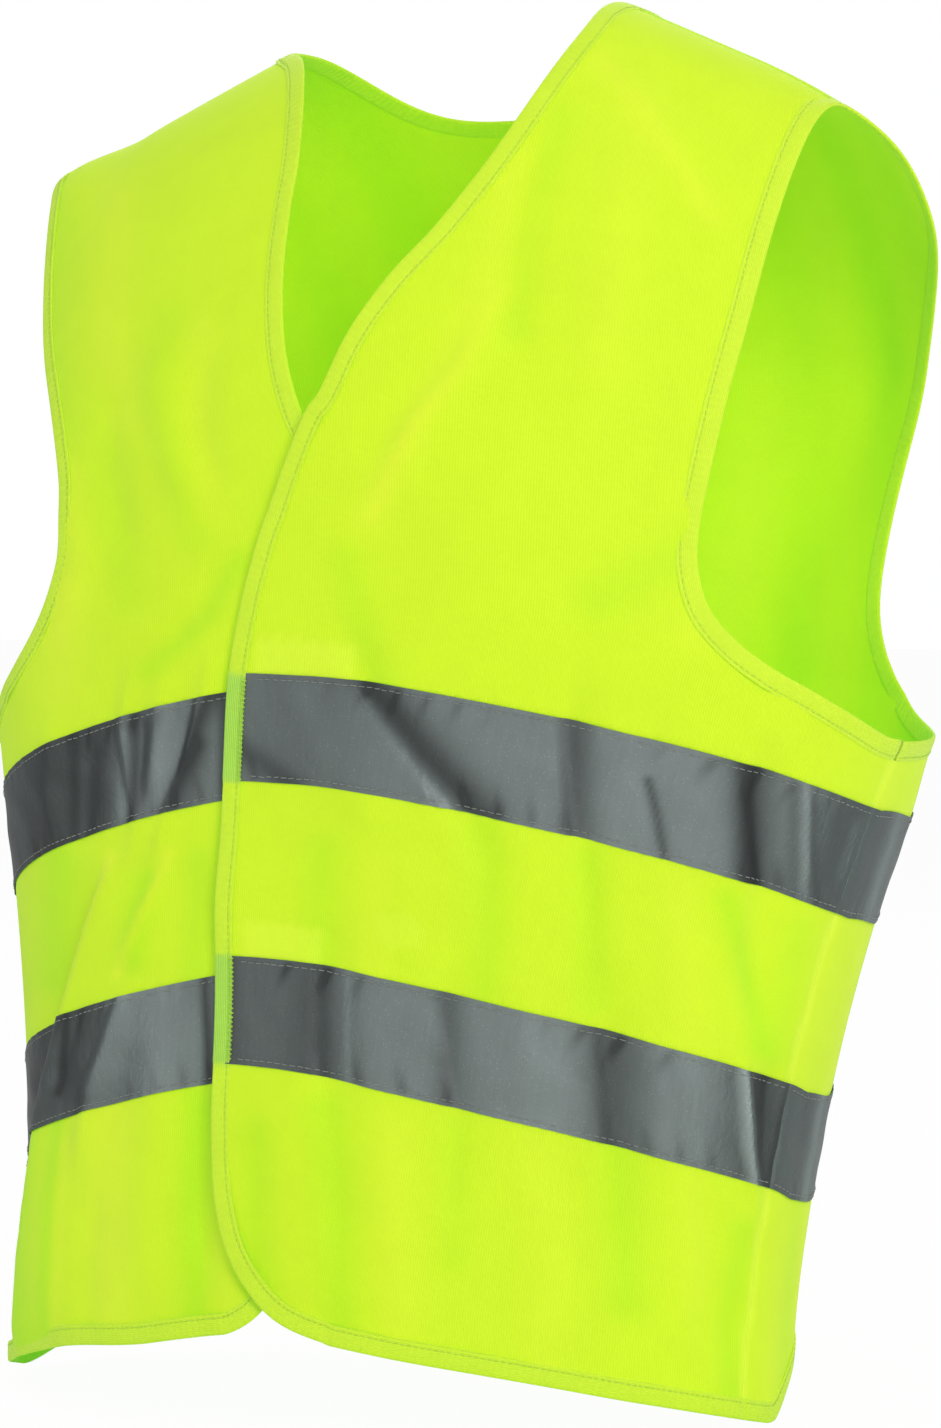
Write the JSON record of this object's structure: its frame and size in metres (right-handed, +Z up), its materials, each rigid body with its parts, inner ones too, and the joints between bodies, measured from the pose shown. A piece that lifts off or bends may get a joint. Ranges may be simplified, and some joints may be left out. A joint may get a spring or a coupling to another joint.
{
  "type": "high visibility vest",
  "caption": "Sleeveless zipless high visibility vest with lapped fronts, hook-and-loop closure, horizontal reflective tapes and bound edges.",
  "frame": {"origin": "centre of the garment's bounding box in plan, at its lowest point on the hem", "axes": "+Z up, the front faces -Y, +X towards the wearer's left"},
  "size_m": [0.47, 0.3476, 0.6691],
  "materials": {
    "cloth": "fluorescent yellow warp-knit polyester, fine vertical ribs, matt",
    "binding": "fluorescent yellow-green woven binding tape, matt",
    "tape": "silver-grey retroreflective tape, soft satin with fine glass-bead speckle",
    "seam": "fluorescent yellow overlocked seam allowance, matt",
    "hook": "hook fastener tape, bristly matt",
    "loop": "loop fastener tape, soft brushed pile"
  },
  "bodies": {
    "vest_body": {"back_hem_binding": "binding", "back_neck_binding": "binding", "back_panel": "cloth", "left_armhole_binding": "binding", "left_front_side_panel": "cloth", "left_neck_binding": "binding", "left_shoulder_seam": "seam", "left_side_hem_binding": "binding", "left_side_seam": "seam", "lower_tape_back": "tape", "lower_tape_left_side": "tape", "lower_tape_right_side": "tape", "right_armhole_binding": "binding", "right_front_side_panel": "cloth", "right_neck_binding": "binding", "right_shoulder_seam": "seam", "right_side_hem_binding": "binding", "right_side_seam": "seam", "upper_tape_back": "tape", "upper_tape_left_side": "tape", "upper_tape_right_side": "tape"},
    "left_flap": {"left_front_edge_binding": "binding", "left_front_flap": "cloth", "lower_hook_patch": "hook", "lower_tape_left_flap": "tape", "upper_hook_patch": "hook", "upper_tape_left_flap": "tape"},
    "right_flap": {"lower_loop_patch": "loop", "lower_tape_right_flap": "tape", "right_front_edge_binding": "binding", "right_front_flap": "cloth", "upper_loop_patch": "loop", "upper_tape_right_flap": "tape"}
  },
  "joints": [
    {"name": "left_front_fold", "type": "hinge", "parent": "vest_body", "child": "left_flap", "pos_m": [0.08742, -0.15627, 0.29739], "axis": [-0.1347, -0.007, 0.9909], "range_deg": [0, 130]},
    {"name": "right_front_fold", "type": "hinge", "parent": "vest_body", "child": "right_flap", "pos_m": [-0.07131, -0.15947, 0.27188], "axis": [-0.2063, -0.0279, -0.9781], "range_deg": [0, 50]}
  ],
  "couplings": [
    {"joint": "right_front_fold", "follows": "left_front_fold", "ratio": 0.38}
  ]
}
